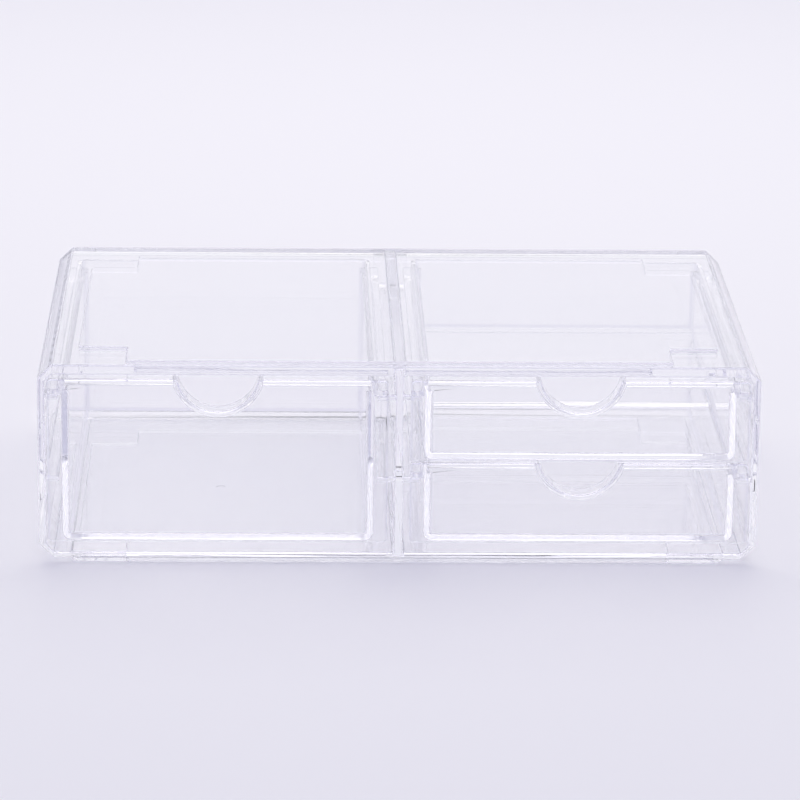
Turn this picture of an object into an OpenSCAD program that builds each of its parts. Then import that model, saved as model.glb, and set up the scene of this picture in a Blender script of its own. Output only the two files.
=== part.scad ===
// Clear desk organizer: an open-fronted, bevelled case with a divider and three sliding drawers.
// The left bay holds one tall drawer, and the right bay holds two short ones on two tiers of rails.
// Frame: X to the right, Y to the back, Z up. The origin is at the centre of the base.

/* [Case] */
// Width of the case over its side walls
case_w = 300; // [270:1:340]
// Depth of the case from its front edge to its back
case_d = 188; // [160:1:220]
// Height of the case from its underside to its top face, without plateau and base
case_h = 84; // [80:1:100]
// Thickness of the side walls
side_t = 3; // [2.4:0.1:3.4]
// Thickness of the top wall
top_t = 4.4; // [3.6:0.1:5]
// Thickness of the bottom wall
bottom_t = 2.5; // [2:0.1:3]
// Thickness of the back wall
back_t = 3; // [2:0.1:4]
// Leg of the bevel along the four long outer edges
bevel = 6; // [4:0.5:7]
// Leg of the bevel along the four long inner edges
inner_bevel = 3.3; // [2:0.1:3.5]

/* [Stacking] */
// Height of the plus-shaped plateau on the top
plateau_h = 1.3; // [0.8:0.1:1.6]
// Height of the base ring that the case stands on
base_h = 1.8; // [1.6:0.1:3]
// Width of the plateau across its side arms
plateau_w = 267.4; // [240:0.2:270]
// Depth of the plateau across its front and back arms
plateau_d = 166; // [140:1:170]
// Gap from the case's front edge to the plateau
plateau_front = 2.4; // [2:0.1:6]
// Side of the square that is missing at each corner of the plateau
plateau_notch = 20.3; // [10:0.1:25]
// Gap around the plateau of one case inside the base of the next
stack_gap = 0.4; // [0.2:0.1:0.6]
// Width of the base ring
base_w = 273; // [250:1:280]
// Corner radius of the base ring
base_r = 4; // [2:0.5:6]

/* [Divider] */
// Thickness of the divider's web
web_t = 3; // [2:0.1:3.6]
// Width of the tongues along the web's upper and lower edges
tongue_w = 4.8; // [4.2:0.1:6]
// How far the upper tongue reaches into the top wall
top_tongue = 3.2; // [2:0.1:3.2]
// How far the lower tongue reaches into the bottom wall
bottom_tongue = 1.2; // [0.8:0.1:1.4]
// Width of the flange at the divider's rear end
flange_w = 15; // [8:0.5:18]
// Thickness of that flange
flange_t = 2.5; // [1.5:0.1:3]

/* [Rails] */
// Thickness of each rail
rail_t = 2.4; // [1.6:0.1:3]
// Width of the rails on the case's side walls
wall_rail_w = 5.5; // [5:0.1:6]
// Width of the rails on the divider
web_rail_w = 7.7; // [7:0.1:8]
// Length of the rails
rail_len = 159; // [120:1:165]

/* [Drawers] */
// Height of a short drawer's front
short_h = 35.2; // [33:0.1:35.4]
// Gap between one drawer's front and the next
tier_gap = 0.5; // [0.4:0.1:1]
// Gap between the top wall and the upper drawers
top_gap = 2.1; // [1.5:0.1:2.5]
// Width of a drawer's front
front_w = 141.4; // [120:0.2:141.4]
// Thickness of a drawer's front
front_t = 2.6; // [2:0.1:3]
// Corner radius of a drawer's front
front_r = 2; // [1.5:0.1:3]
// How far the fronts sit behind the case's front edge
front_inset = 0.8; // [0.4:0.1:2]
// Length of a drawer from its front face to its back
drawer_d = 180; // [150:1:180]
// Width of a drawer's tub below its flanges
tub_w = 129.2; // [110:0.2:129.2]
// Thickness of a tub's side walls
tub_t = 2.2; // [1.6:0.1:2.4]
// Thickness of a tub's floor
floor_t = 2.2; // [1.6:0.1:2.6]
// Thickness of a tub's back wall
tub_back_t = 2; // [1.6:0.1:2.4]
// Corner radius along a tub's lower edges
tub_r = 3.4; // [2.6:0.1:4]
// Height of a tub's underside above the lower edge of its front
tub_lift = 0.8; // [0.4:0.1:1.2]
// How far the tub widens above its flanges, on each side
tub_step = 1.4; // [1:0.1:1.6]
// How far the flanges reach out from the widened tub
flange_out = 3.8; // [3:0.1:4]
// Thickness of the flanges
drawer_flange_t = 2; // [1.5:0.1:2.4]
// Depth from a drawer's top edge to the rail that carries it
rail_drop = 7.1; // [6:0.1:8]

/* [Finger notch] */
// Radius of the half-moon notch in a drawer's front
notch_r = 17; // [14:0.5:18]
// Depth of the notch below the top edge
notch_depth = 13.8; // [11:0.2:14]
// Thickness of the collar around the notch and of the lip along the top edge
collar_t = 2.4; // [1.6:0.1:3]
// Length of the collar and of the lip, front to back
collar_d = 9.5; // [5:0.5:12]

/* [Hidden] */

$fn = 64;
// Overlap that makes unions and cuts clean
eps = 0.01;
// Fitting clearance of the divider in the case
fit = 0.05;
// Running gap between a drawer's flange and its rail
run_gap = 0.2;
// Inset of the base ring from the case's front and back
base_inset = 0.4;
// Height of a tub's wall top below the top edge of its front
wall_drop = 1;

front_y = -case_d / 2;
back_y = case_d / 2;
tall_h = 2 * short_h + tier_gap;
tier_pitch = short_h + tier_gap;
wall_x = case_w / 2 - side_t;
floor_z = base_h + bottom_t;
ceiling_z = base_h + case_h - top_t;
upper_z = ceiling_z - top_gap;
lower_z = upper_z - tier_pitch;
rail_y = front_y + front_inset + front_t + 0.6;
bay_x = (web_t / 2 + web_rail_w + wall_x - wall_rail_w) / 2;
plateau_y = front_y + plateau_front + plateau_d / 2;
drawer_y = front_y + front_inset;

// Extrudes a front-view outline backward from y0
module along_y(y0, length) {
    translate([0, y0 + length, 0])
        rotate([90, 0, 0])
            linear_extrude(length)
                children();
}

// Rectangle with bevelled corners, centred in X and standing on zero
module bevelled_outline(w, h, leg) {
    polygon([
        [leg - w / 2, 0],
        [w / 2 - leg, 0],
        [w / 2, leg],
        [w / 2, h - leg],
        [w / 2 - leg, h],
        [leg - w / 2, h],
        [-w / 2, h - leg],
        [-w / 2, leg],
    ]);
}

// Rectangle with round corners, centred on zero
module rounded_outline(w, h, r) {
    square([w, h - 2 * r], center = true);
    square([w - 2 * r, h], center = true);
    for (sx = [-1, 1], sy = [-1, 1])
        translate([sx * (w / 2 - r), sy * (h / 2 - r)])
            circle(r);
}

// Outline of the plateau: a rectangle without its corner squares, larger by grow on every side
module plateau_outline(grow) {
    square([plateau_w + 2 * grow, plateau_d - 2 * plateau_notch + 2 * grow], center = true);
    square([plateau_w - 2 * plateau_notch + 2 * grow, plateau_d + 2 * grow], center = true);
}

// The bevelled sleeve with its back wall
module sleeve() {
    difference() {
        along_y(front_y, case_d)
            translate([0, base_h])
                bevelled_outline(case_w, case_h, bevel);
        along_y(front_y - 1, case_d - back_t + 1)
            translate([0, floor_z])
                bevelled_outline(2 * wall_x, ceiling_z - floor_z, inner_bevel);
    }
}

// The raised plus on top, which locates the base of the next case
module plateau() {
    translate([0, plateau_y, base_h + case_h - eps])
        linear_extrude(plateau_h + eps)
            plateau_outline(0);
}

// The base ring, whose plus-shaped hollow drops over the plateau of the case below
module base_ring() {
    linear_extrude(base_h + eps)
        difference() {
            rounded_outline(base_w, case_d - 2 * base_inset, base_r);
            translate([0, plateau_y])
                plateau_outline(stack_gap);
        }
}

// One rail: a ledge of width w that grows from x0 towards side, with its top at z
module rail(x0, side, w, z) {
    translate([side > 0 ? x0 - eps : x0 - w, rail_y, z - rail_t])
        cube([w + eps, rail_len, rail_t]);
}

// Heights of the two tiers of rails
rail_tiers = [upper_z - rail_drop, lower_z - rail_drop];

// Space that the divider needs in the top and bottom walls
module divider_grooves() {
    groove_len = case_d - back_t + 1;
    translate([-tongue_w / 2 - fit, front_y - 1, ceiling_z - 1])
        cube([tongue_w + 2 * fit, groove_len, top_tongue + fit + 1]);
    translate([-tongue_w / 2 - fit, front_y - 1, floor_z - bottom_tongue - fit])
        cube([tongue_w + 2 * fit, groove_len, bottom_tongue + fit + 1]);
}

// Case: sleeve, back, plateau, base ring and the outer rails, moulded in one piece
module case_shell() {
    color([0.84, 0.86, 0.95, 0.45])
        difference() {
            union() {
                sleeve();
                plateau();
                base_ring();
                for (z = rail_tiers) {
                    rail(-wall_x, 1, wall_rail_w, z);
                    rail(wall_x + eps, -1, wall_rail_w, z);
                }
            }
            divider_grooves();
        }
}

// Divider: a web with tongues above and below, a flange at its rear end and rails on both faces
module divider() {
    rear_y = back_y - back_t - fit;
    color([0.78, 0.8, 0.93, 0.5])
        union() {
            along_y(front_y, rear_y - front_y)
                translate([-web_t / 2, floor_z - eps])
                    square([web_t, ceiling_z - floor_z + 2 * eps]);
            along_y(front_y, rear_y - front_y)
                translate([-tongue_w / 2, ceiling_z - fit])
                    square([tongue_w, top_tongue + fit]);
            along_y(front_y, rear_y - front_y)
                translate([-tongue_w / 2, floor_z - bottom_tongue])
                    square([tongue_w, bottom_tongue + fit]);
            translate([-flange_w / 2, rear_y - flange_t, floor_z + fit])
                cube([flange_w, flange_t, ceiling_z - floor_z - 2 * fit]);
            for (z = rail_tiers) {
                rail(web_t / 2, 1, web_rail_w, z);
                rail(eps - web_t / 2, -1, web_rail_w, z);
            }
        }
}

// Space that the half-moon notch takes out of a front, seen from the front
module notch_outline(r) {
    translate([0, notch_r - notch_depth])
        circle(r);
}

// Front panel of a drawer of height h, with its top edge at zero
module front_panel(h) {
    along_y(0, front_t)
        difference() {
            translate([0, -h / 2])
                rounded_outline(front_w, h, front_r);
            notch_outline(notch_r);
        }
}

// Lip along the top edge of the front, turned inwards, and the collar around the notch
module lip_and_collar() {
    inner_w = tub_w + 2 * tub_step - tub_t;
    along_y(front_t - eps, collar_d - front_t + eps)
        intersection() {
            translate([-inner_w / 2, -notch_depth - collar_t])
                square([inner_w, notch_depth + collar_t]);
            difference() {
                union() {
                    translate([-inner_w / 2, -collar_t])
                        square([inner_w, collar_t]);
                    notch_outline(notch_r + collar_t);
                }
                notch_outline(notch_r);
            }
        }
}

// Tub outline below the flanges, of width w, from the bottom at -h up to top
module tub_lower_outline(w, h, top, r) {
    translate([0, (top - h) / 2])
        square([w - 2 * r, h + top], center = true);
    translate([0, (top - h + r) / 2])
        square([w, h + top - r], center = true);
    for (sx = [-1, 1])
        translate([sx * (w / 2 - r), r - h])
            circle(r);
}

// Tub of a drawer of height h: side walls that step out above the flanges, floor and back
module tub(h) {
    flange_low = run_gap - rail_drop;
    flange_top = flange_low + drawer_flange_t;
    upper_w = tub_w + 2 * tub_step;
    cavity_d = drawer_d - front_t - tub_back_t + 2 * eps;
    difference() {
        union() {
            along_y(front_t - eps, drawer_d - front_t + eps)
                tub_lower_outline(tub_w, h - tub_lift, flange_low + eps, tub_r);
            along_y(front_t - eps, drawer_d - front_t + eps)
                translate([-upper_w / 2, flange_low])
                    square([upper_w, -wall_drop - flange_low]);
            along_y(front_t - eps, drawer_d - front_t + eps)
                translate([-upper_w / 2 - flange_out, flange_low])
                    square([upper_w + 2 * flange_out, drawer_flange_t]);
        }
        along_y(front_t - 2 * eps, cavity_d)
            tub_lower_outline(tub_w - 2 * tub_t, h - tub_lift - floor_t, flange_top + eps, tub_r - 1);
        along_y(front_t - 2 * eps, cavity_d)
            translate([tub_t - upper_w / 2, flange_top])
                square([upper_w - 2 * tub_t, 2 - flange_top]);
    }
}

// A drawer of height h in the bay on the given side, with its top edge at z
module drawer(h, side, z) {
    translate([side * bay_x, drawer_y, z])
        union() {
            front_panel(h);
            lip_and_collar();
            tub(h);
        }
}

// Tall drawer, which fills the left bay
module drawer_left_tall() {
    color([0.74, 0.83, 0.95, 0.45])
        drawer(tall_h, -1, upper_z);
}

// Upper short drawer in the right bay
module drawer_right_upper() {
    color([0.8, 0.9, 0.86, 0.45])
        drawer(short_h, 1, upper_z);
}

// Lower short drawer in the right bay
module drawer_right_lower() {
    color([0.93, 0.86, 0.8, 0.45])
        drawer(short_h, 1, lower_z);
}

case_shell();
divider();
drawer_left_tall();
drawer_right_upper();
drawer_right_lower();
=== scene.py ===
"""Clear desk organizer: a bevelled case, a divider and three sliding drawers, in moulded plastic.

Every shape is given in millimetres and turned to metres when its mesh is made.
"""

import math

import bmesh
import bpy
from mathutils import Euler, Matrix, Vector


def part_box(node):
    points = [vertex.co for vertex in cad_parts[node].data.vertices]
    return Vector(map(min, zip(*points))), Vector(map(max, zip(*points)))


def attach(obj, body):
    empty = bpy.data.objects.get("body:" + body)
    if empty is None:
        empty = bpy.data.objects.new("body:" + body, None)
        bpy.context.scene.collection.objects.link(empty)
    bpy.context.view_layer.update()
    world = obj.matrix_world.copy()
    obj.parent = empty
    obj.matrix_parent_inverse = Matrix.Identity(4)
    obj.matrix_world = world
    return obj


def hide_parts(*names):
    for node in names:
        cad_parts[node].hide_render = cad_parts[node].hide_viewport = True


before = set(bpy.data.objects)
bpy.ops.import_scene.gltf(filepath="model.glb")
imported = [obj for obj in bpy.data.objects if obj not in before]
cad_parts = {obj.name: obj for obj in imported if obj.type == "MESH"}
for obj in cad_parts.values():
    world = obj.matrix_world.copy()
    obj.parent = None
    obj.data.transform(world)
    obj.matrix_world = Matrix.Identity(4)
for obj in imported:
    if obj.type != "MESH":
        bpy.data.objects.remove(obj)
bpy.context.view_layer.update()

MM = 0.001

# ---------------------------------------------------------------- sizes, in mm

SIDE_T = 3.0  # side walls of the case
TOP_T = 4.4
BOTTOM_T = 2.5
BACK_T = 3.0
BEVEL = 6.0  # leg of the long outer bevels
INNER_BEVEL = 3.3
PLATEAU_H = 1.3
BASE_H = 1.8
PLATEAU_W = 267.4
PLATEAU_D = 166.0
PLATEAU_FRONT = 2.4
PLATEAU_NOTCH = 20.3
STACK_GAP = 0.4  # room around a plateau inside the base of the case above it
BASE_W = 273.0
BASE_R = 4.0
BASE_INSET = 0.4  # from the case's front and back
PLAN_R = 1.6  # round corners of the plateau, seen from above

WEB_T = 3.0
TONGUE_W = 4.8
TOP_TONGUE = 3.2
BOTTOM_TONGUE = 1.2
FLANGE_W = 15.0
FLANGE_T = 2.5
FIT = 0.05

RAIL_T = 2.4
WALL_RAIL_W = 5.5
WEB_RAIL_W = 7.7
RAIL_LEN = 159.0
RAIL_START = 0.6  # behind the drawers' front plates
RAIL_R = 0.9  # round edges of the rails

FRONT_W = 141.4
FRONT_T = 2.6
FRONT_R = 2.0
TUB_W = 129.2
TUB_T = 2.2
FLOOR_T = 2.2
TUB_BACK_T = 2.0
TUB_R = 3.4
TUB_STEP = 1.4
FLANGE_OUT = 3.8
DRAWER_FLANGE_T = 2.0
RAIL_DROP = 7.1  # from the top of a front down to its rails
RUN_GAP = 0.2  # between a rail and the flange that runs on it
WALL_DROP = 1.0  # from the top of a front down to the tub's walls
NOTCH_R = 17.0
NOTCH_DEPTH = 13.8
NOTCH_STEPS = 48
COLLAR_T = 2.4  # of the collar round the notch and the lip beside it
COLLAR_D = 9.5
LIP_FILLET = 0.8  # between the lip and the front
FLOOR_FILLET = 1.2  # round inner corners of a tub
TUB_LIFT = 0.8  # how far a tub's underside sits above its front's lower edge
FLANGE_R = 2.0
BACK_FILLET = 3.6
GATE_R = 1.7
GATE_DEPTH = 0.35
LAP = 0.6  # how far two joined solids run into each other
PAST = 5.0  # how far a cutter runs out of the solid it cuts
GROOVE_PAST = 1.0  # the same, for the divider's grooves
NEAR = 0.01  # two places this close are the same
ALONG = 0.9  # an edge whose direction has this much of an axis runs along it

EDGE_R = 0.35  # round of every moulded edge that has no larger one
SEAM = 0.002  # corners this close are joined after the booleans
FACE_EDGE_R = 0.8  # round around the faces that look forwards
PLATEAU_EDGE_R = 0.6
LONG_EDGE_R = 1.0  # round along both sides of each long bevel
EDGE_ANGLE = math.radians(32)
FLAT_ANGLE = math.radians(8)
WORN_AND_HIGHLIGHT_W = 0.45  # faces narrower than this are the rounded edges, which show wear and carry a painted highlight
# material slot of the rounded edges: rubbed rougher, and a little milky white as a painted
# highlight
WORN_AND_HIGHLIGHT_SLOT = 1

# ---------------------------------------------------------------- mesh code


def arc(cx, cy, r, a0, a1, steps=8):
    """Points on a circle from angle a0 to a1, in degrees."""
    angles = [math.radians(a0 + (a1 - a0) * i / steps) for i in range(steps + 1)]
    return [(cx + r * math.cos(a), cy + r * math.sin(a)) for a in angles]


def round_corners(points, radii, steps=6):
    """The outline with each corner turned into an arc of the radius given for it."""
    made = []
    count = len(points)
    for i, point in enumerate(points):
        r = radii[i] if hasattr(radii, "__len__") else radii
        p = Vector(point)
        a = (Vector(points[i - 1]) - p).normalized()
        b = (Vector(points[(i + 1) % count]) - p).normalized()
        half = a.angle(b) / 2
        if r <= 0:
            made.append(tuple(p))
            continue
        reach = r / math.tan(half)
        centre = p + (a + b).normalized() * (r / math.sin(half))
        start, end = p + a * reach - centre, p + b * reach - centre
        turn = start.angle_signed(end)
        for k in range(steps + 1):
            angle = -turn * k / steps
            c, s = math.cos(angle), math.sin(angle)
            x, y = c * start.x - s * start.y, s * start.x + c * start.y
            made.append((centre.x + x, centre.y + y))
    return made


def rectangle(x0, x1, z0, z1):
    return [(x0, z0), (x1, z0), (x1, z1), (x0, z1)]


def loft(sections, axis="Y"):
    """A closed solid through outlines of equal length, each as (place along the axis, outline)."""
    place = {
        "X": lambda u, v, t: (t, u, v),
        "Y": lambda u, v, t: (u, t, v),
        "Z": lambda u, v, t: (u, v, t),
    }[axis]
    bm = bmesh.new()
    rings = []
    for t, outline in sections:
        rings.append([bm.verts.new(Vector(place(u, v, t)) * MM) for u, v in outline])
    count = len(rings[0])
    bm.faces.new(rings[0])
    bm.faces.new(rings[-1][::-1])
    for first, last in zip(rings, rings[1:]):
        for i in range(count):
            bm.faces.new((first[(i + 1) % count], first[i], last[i], last[(i + 1) % count]))
    bmesh.ops.recalc_face_normals(bm, faces=bm.faces)
    return bm


def prism(outline, axis, low, high):
    """A closed solid: the outline drawn across the axis, from low to high along it."""
    return loft([(low, outline), (high, outline)], axis)


def flared(outline, y_mouth, y_end, radius, steps=4):
    """A cutter along Y whose mouth widens by a quarter round; outline(grow) gives its section."""
    sections = [(y_mouth - PAST, outline(radius))]
    for k in range(steps, -1, -1):
        a = math.radians(90 * k / steps)
        sections.append((y_mouth + radius * (1 - math.sin(a)), outline(radius * (1 - math.cos(a)))))
    return loft(sections + [(y_end, outline(0))])


def soften(bm, chosen, radius, steps=5):
    """Rounds the edges for which chosen(middle, direction) is true, in mm."""
    edges = []
    for edge in bm.edges:
        a, b = edge.verts[0].co / MM, edge.verts[1].co / MM
        if edge.calc_face_angle(0.0) > FLAT_ANGLE and chosen((a + b) / 2, (b - a).normalized()):
            edges.append(edge)
    bmesh.ops.bevel(
        bm, geom=edges, offset=radius * MM, offset_type="OFFSET", segments=steps,
        profile=0.5, affect="EDGES", clamp_overlap=False,
    )
    return bm


def block(x0, x1, y0, y1, z0, z1):
    return prism(rectangle(x0, x1, z0, z1), "Y", y0, y1)


def as_object(bm, name):
    mesh = bpy.data.meshes.new(name)
    bm.to_mesh(mesh)
    bm.free()
    obj = bpy.data.objects.new(name, mesh)
    bpy.context.scene.collection.objects.link(obj)
    return obj


def combine(name, base, steps):
    """The solid base after each (operation, solid) of steps, as one mesh object."""
    obj = as_object(base, name)
    helpers = []
    for number, (operation, solid) in enumerate(steps):
        helper = solid
        if isinstance(solid, bmesh.types.BMesh):
            helper = as_object(solid, f"{name}_helper_{number}")
        modifier = obj.modifiers.new("boolean", "BOOLEAN")
        modifier.operation = operation
        modifier.solver = "EXACT"
        modifier.object = helper
        helpers.append(helper)
    bpy.context.view_layer.update()
    graph = bpy.context.evaluated_depsgraph_get()
    mesh = bpy.data.meshes.new_from_object(obj.evaluated_get(graph))
    obj.modifiers.clear()
    obj.data = mesh
    mesh.name = name
    for helper in helpers:
        bpy.data.objects.remove(helper)
    return obj


def finish_edges(obj):
    """Cleans the joined mesh, and rounds the edges that are still sharp as a mould does."""
    bm = bmesh.new()
    bm.from_mesh(obj.data)
    bmesh.ops.remove_doubles(bm, verts=bm.verts, dist=SEAM * MM)
    bm.to_mesh(obj.data)
    bm.free()
    bevel = obj.modifiers.new("moulded edges", "BEVEL")
    bevel.width = EDGE_R * MM
    bevel.segments = 2
    bevel.limit_method = "ANGLE"
    bevel.angle_limit = EDGE_ANGLE
    bevel.use_clamp_overlap = False
    # the rounded edges take the edge finish, whose milky white is a painted highlight
    bevel.material = WORN_AND_HIGHLIGHT_SLOT
    flat = obj.modifiers.new("flat faces", "WEIGHTED_NORMAL")
    flat.mode = "FACE_AREA"
    flat.weight = 100
    flat.keep_sharp = True
    points = obj.data.vertices
    for polygon in obj.data.polygons:
        polygon.use_smooth = True
        longest = max((points[a].co - points[b].co).length for a, b in polygon.edge_keys)
        # narrow faces are edges too, and get the same finish with its painted highlight
        if polygon.area / longest < WORN_AND_HIGHLIGHT_W * MM:
            polygon.material_index = WORN_AND_HIGHLIGHT_SLOT
    return obj


# ---------------------------------------------------------------- places, from the frame


def box_mm(node):
    low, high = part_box(node)
    return low / MM, high / MM


case_low, case_high = box_mm("case_shell")
case_w = case_high.x - case_low.x
front_y = case_low.y
back_y = case_high.y
case_bottom = case_low.z + BASE_H
case_top = case_high.z - PLATEAU_H
floor_z = case_bottom + BOTTOM_T
ceiling_z = case_top - TOP_T
wall_x = case_w / 2 - SIDE_T
plateau_y = front_y + PLATEAU_FRONT + PLATEAU_D / 2

rail_tops = [box_mm(n)[1].z - RAIL_DROP for n in ("drawer_right_upper", "drawer_right_lower")]
rail_y = box_mm("drawer_left_tall")[0].y + FRONT_T + RAIL_START
gate_x = []
for bay_node in ("drawer_left_tall", "drawer_right_lower"):
    bay_low, bay_high = box_mm(bay_node)
    gate_x.append((bay_low.x + bay_high.x) / 2)


# ---------------------------------------------------------------- case


def bevelled(w, z0, z1, leg):
    """A rectangle of width w with its four corners cut off by leg."""
    return [
        (leg - w / 2, z0),
        (w / 2 - leg, z0),
        (w / 2, z0 + leg),
        (w / 2, z1 - leg),
        (w / 2 - leg, z1),
        (leg - w / 2, z1),
        (-w / 2, z1 - leg),
        (-w / 2, z0 + leg),
    ]


def plus_outline(grow, radius):
    """The plateau seen from above: a rectangle without its corner squares."""
    w, d = PLATEAU_W / 2 + grow, PLATEAU_D / 2 + grow
    n = PLATEAU_NOTCH
    points = [
        (n - w, -d), (w - n, -d), (w - n, n - d), (w, n - d),
        (w, d - n), (w - n, d - n), (w - n, d), (n - w, d),
        (n - w, d - n), (-w, d - n), (-w, n - d), (n - w, n - d),
    ]
    return [(x, y + plateau_y) for x, y in round_corners(points, radius)]


def rail(x0, side, w, top):
    """A ledge with round edges that grows from x0 towards side."""
    root, tip = x0 - side * LAP, x0 + side * w
    left, right = min(root, tip), max(root, tip)
    bm = block(left, right, rail_y, rail_y + RAIL_LEN, top - RAIL_T, top)
    return soften(bm, lambda m, d: abs(m.x - root) > NEAR, RAIL_R, 4)


def gate_mark(x, y, z):
    """The shallow round dimple that the moulding gate leaves on an underside."""
    return prism(arc(x, y, GATE_R, 0, 360, 24)[:-1], "Z", z - GROOVE_PAST, z + GATE_DEPTH)


def build_case():
    w, d = BASE_W / 2, (back_y - front_y) / 2 - BASE_INSET
    base = round_corners(rectangle(-w, w, -d, d), BASE_R)
    base = prism(base, "Z", case_low.z, case_bottom + LAP)
    room = prism(plus_outline(STACK_GAP, PLAN_R), "Z", case_low.z - PAST, case_bottom + PAST)
    ring = combine("base_ring", base, [("DIFFERENCE", room)])
    plateau = prism(plus_outline(0, PLAN_R), "Z", case_top - LAP, case_high.z)
    soften(plateau, lambda m, d: m.z > case_high.z - NEAR, PLATEAU_EDGE_R, 4)
    profile = round_corners(bevelled(case_w, case_bottom, case_top, BEVEL), LONG_EDGE_R, 4)
    shell = prism(profile, "Y", front_y, back_y)
    rim = (front_y, back_y)
    soften(shell, lambda m, d: min(abs(m.y - y) for y in rim) < NEAR, FACE_EDGE_R, 4)
    rear = back_y - BACK_T

    def bay(grow):
        leg = INNER_BEVEL + (2 - math.sqrt(2)) * grow
        return bevelled(2 * (wall_x + grow), floor_z - grow, ceiling_z + grow, leg)

    hollow = flared(bay, front_y, rear, FACE_EDGE_R)
    soften(hollow, lambda m, d: abs(m.y - rear) < NEAR, BACK_FILLET, 4)
    half = TONGUE_W / 2 + FIT

    def groove(low, high):
        return block(-half, half, front_y - GROOVE_PAST, rear, low, high)

    top_groove = groove(ceiling_z - GROOVE_PAST, ceiling_z + TOP_TONGUE + FIT)
    bottom_groove = groove(floor_z - BOTTOM_TONGUE - FIT, floor_z + GROOVE_PAST)
    steps = [("UNION", ring), ("UNION", plateau), ("DIFFERENCE", hollow)]
    for top in rail_tops:
        steps.append(("UNION", rail(-wall_x, 1, WALL_RAIL_W, top)))
        steps.append(("UNION", rail(wall_x, -1, WALL_RAIL_W, top)))
    steps += [("DIFFERENCE", top_groove), ("DIFFERENCE", bottom_groove)]
    for x in gate_x:
        steps.append(("DIFFERENCE", gate_mark(x, plateau_y, case_bottom)))
    return finish_edges(combine("case_body", shell, steps))


def build_divider():
    rear_y = back_y - BACK_T - FIT
    t, w = WEB_T / 2, TONGUE_W / 2
    top, low = ceiling_z + TOP_TONGUE, floor_z - BOTTOM_TONGUE
    outline = [
        (-w, low), (w, low), (w, floor_z + FIT), (t, floor_z + FIT),
        (t, ceiling_z - FIT), (w, ceiling_z - FIT), (w, top), (-w, top),
        (-w, ceiling_z - FIT), (-t, ceiling_z - FIT), (-t, floor_z + FIT), (-w, floor_z + FIT),
    ]
    web = prism(outline, "Y", front_y, rear_y)
    f = FLANGE_W / 2
    flange = block(-f, f, rear_y - FLANGE_T, rear_y, floor_z + FIT, ceiling_z - FIT)
    steps = [("UNION", flange)]
    for z in rail_tops:
        steps.append(("UNION", rail(t, 1, WEB_RAIL_W, z)))
        steps.append(("UNION", rail(-t, -1, WEB_RAIL_W, z)))
    return finish_edges(combine("divider_plate", web, steps))


# ---------------------------------------------------------------- drawers


def build_drawer(name, node):
    low, high = box_mm(node)
    cx, y0, z0 = (low.x + high.x) / 2, low.y, high.z
    h, depth = high.z - low.z, high.y - low.y
    half = FRONT_W / 2
    y_in, y_out = y0 + FRONT_T, y0 + depth
    y_rear = y_out - TUB_BACK_T
    bottom = z0 - h + TUB_LIFT

    def outline(points):
        return [(cx + x, z0 + z) for x, z in points]

    front = prism(outline(round_corners(rectangle(-half, half, -h, 0), FRONT_R)), "Y", y0, y_in)
    soften(front, lambda m, d: abs(m.y - y0) < NEAR, FACE_EDGE_R, 4)

    flange_low = z0 + RUN_GAP - RAIL_DROP
    flange_top = flange_low + DRAWER_FLANGE_T
    narrow = TUB_W / 2
    wide = narrow + TUB_STEP
    out = wide + FLANGE_OUT

    tub = block(cx - narrow, cx + narrow, y_in - LAP, y_out, bottom, flange_low + LAP)

    def rear_upright(m, d):
        return abs(d.z) > ALONG and abs(m.y - y_out) < NEAR

    def outer_round(m, d):
        low, rear = abs(m.z - bottom) < NEAR, abs(m.y - y_out) < NEAR
        lengthwise = abs(d.y) > ALONG and low
        across = abs(d.x) > ALONG and low and rear
        return lengthwise or across or rear_upright(m, d)

    soften(tub, outer_round, TUB_R, 6)
    rim = block(cx - wide, cx + wide, y_in - LAP, y_out, flange_low, z0 - WALL_DROP)
    soften(rim, rear_upright, TUB_R, 6)
    flange = block(cx - out, cx + out, y_in - LAP, y_out, flange_low, flange_top)
    soften(flange, rear_upright, FLANGE_R, 5)

    inner = narrow - TUB_T
    cavity_low = bottom + FLOOR_T
    cut_top = z0 + 2 * PAST
    cavity = block(cx - inner, cx + inner, y_in, y_rear, cavity_low, cut_top)
    soften(cavity, lambda m, d: m.z < cut_top - NEAR, FLOOR_FILLET, 6)
    mouth = block(cx - wide + TUB_T, cx + wide - TUB_T, y_in, y_rear, flange_top, cut_top)
    soften(mouth, lambda m, d: abs(d.z) > ALONG, FLOOR_FILLET, 6)

    collar_r = NOTCH_R + COLLAR_T
    notch_z = NOTCH_R - NOTCH_DEPTH
    lip_half = wide - TUB_T + LAP
    drop = math.degrees(math.asin((notch_z + COLLAR_T) / collar_r))
    lip_points = [
        (-lip_half, 0), (-lip_half, -COLLAR_T),
        *arc(0, notch_z, collar_r, 180 + drop, 360 - drop, NOTCH_STEPS),
        (lip_half, -COLLAR_T), (lip_half, 0),
    ]
    lip = prism(outline(lip_points), "Y", y_in - LAP, y0 + COLLAR_D)

    f, under, sunk = LIP_FILLET, z0 - COLLAR_T, LAP / 2
    fillet_points = [(y_in - sunk, under + sunk), (y_in - sunk, under - f)]
    fillet_points += arc(y_in + f, under - f, f, 180, 90, 8)
    fillet_points += [(y_in + f, under + sunk)]
    fillet = prism(fillet_points, "X", cx - lip_half + sunk, cx + lip_half - sunk)

    def notch_outline(grow):
        r = NOTCH_R + grow
        rise = math.degrees(math.asin(notch_z / r))
        points = arc(0, notch_z, r, 180 + rise, 360 - rise, NOTCH_STEPS)
        return outline(points + [(points[-1][0], PAST), (points[0][0], PAST)])

    notch = flared(notch_outline, y0, y0 + COLLAR_D + PAST, FACE_EDGE_R)
    obj = combine(name, tub, [
        ("UNION", rim), ("UNION", flange), ("DIFFERENCE", cavity), ("DIFFERENCE", mouth),
        ("UNION", front), ("UNION", lip), ("UNION", fillet), ("DIFFERENCE", notch),
    ])
    return finish_edges(obj)


# ---------------------------------------------------------------- material


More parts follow.
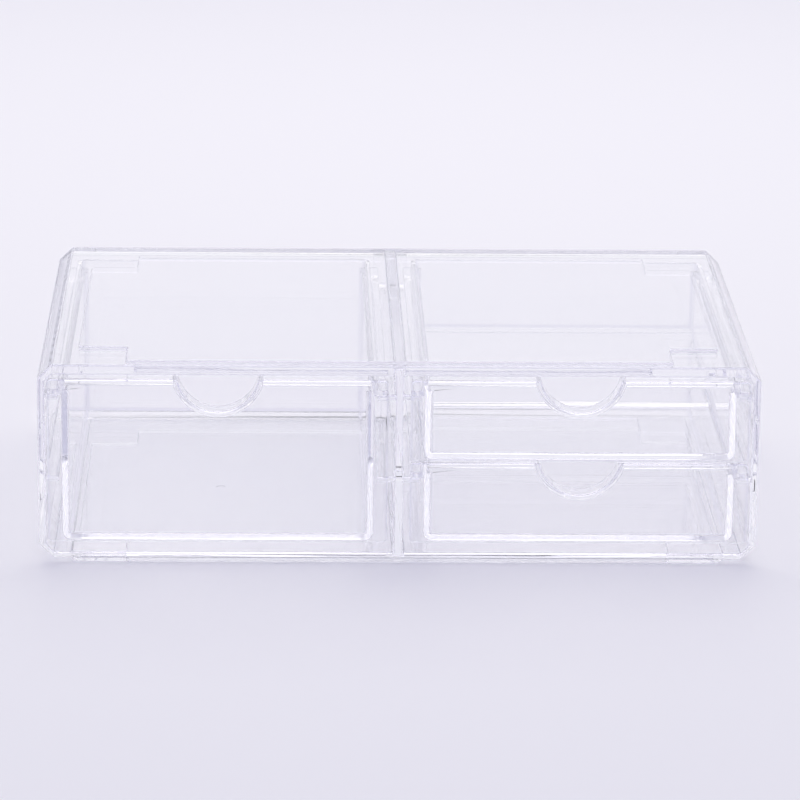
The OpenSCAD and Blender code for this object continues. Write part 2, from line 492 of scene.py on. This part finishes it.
IOR = 1.57  # polystyrene
FLOW_SCALE, WEAR_SCALE, WAVE_SCALE = 18.0, 260.0, 22.0
TINT_SPREAD = 0.003
BODY_COLOUR, BODY_DENSITY = (0.7, 0.7, 0.9, 1.0), 0.4
# the edges are a little less clear, so their white base shows: a painted highlight along the edges
BODY_CLEARNESS, EDGE_HIGHLIGHT_CLEARNESS = 1.0, 0.96
BODY_ROUGHNESS, WORN_ROUGHNESS = (0.0, 0.01), (0.03, 0.1)
WAVE_STRENGTH, WAVE_HEIGHT = 0.05, 0.0006


def clear_plastic(name, tint, seed, worn_and_highlight=False):
    """Clear moulded polystyrene: faint tint and flow marks, waviness and fine wear.

    The worn one is for rounded edges, which are rubbed rougher, and made a little milky white as a
    painted highlight.
    """
    material = bpy.data.materials.new(name + ("_worn_and_highlight_edges" if worn_and_highlight else ""))
    material.use_nodes = True
    nodes, links = material.node_tree.nodes, material.node_tree.links
    shader = nodes["Principled BSDF"]
    # the lower clearness of the worn edges is a painted highlight
    clearness = EDGE_HIGHLIGHT_CLEARNESS if worn_and_highlight else BODY_CLEARNESS
    shader.inputs["Transmission Weight"].default_value = clearness
    shader.inputs["IOR"].default_value = IOR

    place = nodes.new("ShaderNodeTexCoord")
    shift = nodes.new("ShaderNodeMapping")
    shift.inputs["Location"].default_value = (seed * 0.31, seed * 0.17, seed * 0.23)
    links.new(place.outputs["Object"], shift.inputs["Vector"])

    def noise(scale, detail, distortion=0.0):
        node = nodes.new("ShaderNodeTexNoise")
        node.inputs["Scale"].default_value = scale
        node.inputs["Detail"].default_value = detail
        node.inputs["Distortion"].default_value = distortion
        links.new(shift.outputs["Vector"], node.inputs["Vector"])
        return node

    def ramp(source, stops):
        node = nodes.new("ShaderNodeValToRGB")
        while len(node.color_ramp.elements) < len(stops):
            node.color_ramp.elements.new(0.5)
        for element, (position, colour) in zip(node.color_ramp.elements, stops):
            element.position = position
            element.color = (*colour, 1.0)
        links.new(source, node.inputs["Fac"])
        return node

    flow = noise(FLOW_SCALE, 3.0, 0.6)
    pale = tuple(min(1.0, c + TINT_SPREAD) for c in tint)
    deep = tuple(c - TINT_SPREAD for c in tint)
    colour = ramp(flow.outputs["Fac"], [(0.3, deep), (0.7, pale)])
    links.new(colour.outputs["Color"], shader.inputs["Base Color"])

    wear = noise(WEAR_SCALE, 6.0)
    smooth, rubbed = WORN_ROUGHNESS if worn_and_highlight else BODY_ROUGHNESS
    grain = ramp(wear.outputs["Fac"], [(0.5, (smooth,) * 3), (0.75, (rubbed,) * 3)])
    links.new(grain.outputs["Color"], shader.inputs["Roughness"])

    wave = noise(WAVE_SCALE, 1.0)
    bump = nodes.new("ShaderNodeBump")
    bump.inputs["Strength"].default_value = WAVE_STRENGTH
    bump.inputs["Distance"].default_value = WAVE_HEIGHT
    links.new(wave.outputs["Fac"], bump.inputs["Height"])
    links.new(bump.outputs["Normal"], shader.inputs["Normal"])

    body = nodes.new("ShaderNodeVolumeAbsorption")
    body.inputs["Color"].default_value = BODY_COLOUR
    body.inputs["Density"].default_value = BODY_DENSITY
    links.new(body.outputs["Volume"], nodes["Material Output"].inputs["Volume"])
    return material


def finish_of(name, tint, seed):
    """The two finishes of a piece: its faces, and its worn edges with their painted highlight."""
    return clear_plastic(name, tint, seed), clear_plastic(name, tint, seed, worn_and_highlight=True)


case_plastic = finish_of("case_clear_polystyrene", (0.996, 0.996, 0.999), 1)
divider_plastic = finish_of("divider_clear_polystyrene", (0.995, 0.995, 0.999), 2)
drawer_plastic = finish_of("drawer_clear_polystyrene", (0.996, 0.996, 0.999), 3)


def place_piece(obj, node, body, finishes):
    """Puts a finished piece on its body, in place of its CAD node."""
    for material in finishes:
        obj.data.materials.append(material)
    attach(obj, body)
    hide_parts(node)


place_piece(build_case(), "case_shell", "case", case_plastic)
place_piece(build_divider(), "divider", "case", divider_plastic)
DRAWERS = (
    ("tall_drawer", "drawer_left_tall", "left_drawer"),
    ("upper_drawer", "drawer_right_upper", "upper_drawer"),
    ("lower_drawer", "drawer_right_lower", "lower_drawer"),
)
for piece, node, body in DRAWERS:
    place_piece(build_drawer(piece, node), node, body, drawer_plastic)

# ---------------------------------------------------------------- floor, light and camera

FLOOR_COLOUR = (0.88, 0.875, 0.885, 1)
FLOOR_HALF, FLOOR_Z = 9.0, -0.0001
DIMMEST = (0.0, -0.45, 0.89)  # the direction in which the world is dimmest
WORLD_STOPS = [  # from the dimmest direction to the brightest
    (0.05, (0.56, 0.555, 0.71)),
    (0.50, (0.825, 0.82, 0.91)),
    (0.72, (0.98, 0.97, 1.01)),
]
KEY_PLACE, KEY_SIZE, KEY_POWER, KEY_COLOUR = (0.05, 0.75, 1.25), (1.7, 1.3), 9.1, (1.0, 0.97, 0.84)
CAMERA_PLACE = (-49.292, -1787.698, 591.082)
CAMERA_TURN = (72.9445, -0.7084, -1.4515)
CAMERA_LENS = 192.61
LIGHT_BOUNCES = 128  # light crosses many faces of clear plastic


def build_floor():
    """A wide pale sheet that the object stands on."""
    bm = bmesh.new()
    corners = rectangle(-FLOOR_HALF, FLOOR_HALF, -FLOOR_HALF, FLOOR_HALF)
    bm.faces.new([bm.verts.new((x, y, FLOOR_Z)) for x, y in corners])
    floor = as_object(bm, "floor")
    material = bpy.data.materials.new("floor_paper")
    material.use_nodes = True
    shader = material.node_tree.nodes["Principled BSDF"]
    shader.inputs["Base Color"].default_value = FLOOR_COLOUR
    shader.inputs["Roughness"].default_value = 0.5
    shader.inputs["Specular IOR Level"].default_value = 0.3
    floor.data.materials.append(material)


def build_light():
    """Pale lavender light from all round, and one warm soft box above and behind.

    The light from all round is brightest low at the back, and dimmest overhead and in front.
    """
    world = bpy.data.worlds.new("studio")
    bpy.context.scene.world = world
    world.use_nodes = True
    nodes, links = world.node_tree.nodes, world.node_tree.links
    background = nodes["Background"]
    coords = nodes.new("ShaderNodeTexCoord")
    towards = nodes.new("ShaderNodeVectorMath")
    towards.operation = "DOT_PRODUCT"
    towards.inputs[1].default_value = -Vector(DIMMEST).normalized()
    links.new(coords.outputs["Generated"], towards.inputs[0])
    scale = nodes.new("ShaderNodeMapRange")
    scale.inputs["From Min"].default_value = -1.0
    scale.inputs["From Max"].default_value = 1.0
    links.new(towards.outputs["Value"], scale.inputs["Value"])
    ramp = nodes.new("ShaderNodeValToRGB")
    ramp.color_ramp.interpolation = "LINEAR"
    while len(ramp.color_ramp.elements) < len(WORLD_STOPS):
        ramp.color_ramp.elements.new(0.5)
    for element, (position, colour) in zip(ramp.color_ramp.elements, WORLD_STOPS):
        element.position = position
        element.color = (*colour, 1)
    links.new(scale.outputs["Result"], ramp.inputs["Fac"])
    links.new(ramp.outputs["Color"], background.inputs["Color"])
    background.inputs["Strength"].default_value = 1.0

    data = bpy.data.lights.new("key", "AREA")
    data.shape = "RECTANGLE"
    data.size, data.size_y = KEY_SIZE
    data.energy = KEY_POWER
    data.color = KEY_COLOUR
    lamp = bpy.data.objects.new("key", data)
    lamp.location = KEY_PLACE
    lamp.rotation_euler = (-Vector(KEY_PLACE)).to_track_quat("-Z", "Y").to_euler()
    lamp.visible_camera = False
    bpy.context.scene.collection.objects.link(lamp)


def build_camera():
    data = bpy.data.cameras.new("camera")
    data.sensor_width = 36.0
    data.lens = CAMERA_LENS
    data.clip_end = 100
    camera = bpy.data.objects.new("camera", data)
    camera.location = Vector(CAMERA_PLACE) * MM
    camera.rotation_euler = Euler([math.radians(a) for a in CAMERA_TURN], "XYZ")
    bpy.context.scene.collection.objects.link(camera)
    bpy.context.scene.camera = camera


build_floor()
build_light()
build_camera()

scene = bpy.context.scene
scene.view_settings.view_transform = "Standard"
scene.cycles.blur_glossy = 0.0
scene.cycles.max_bounces = LIGHT_BOUNCES
scene.cycles.transmission_bounces = LIGHT_BOUNCES
scene.cycles.glossy_bounces = LIGHT_BOUNCES
scene.cycles.transparent_max_bounces = 16
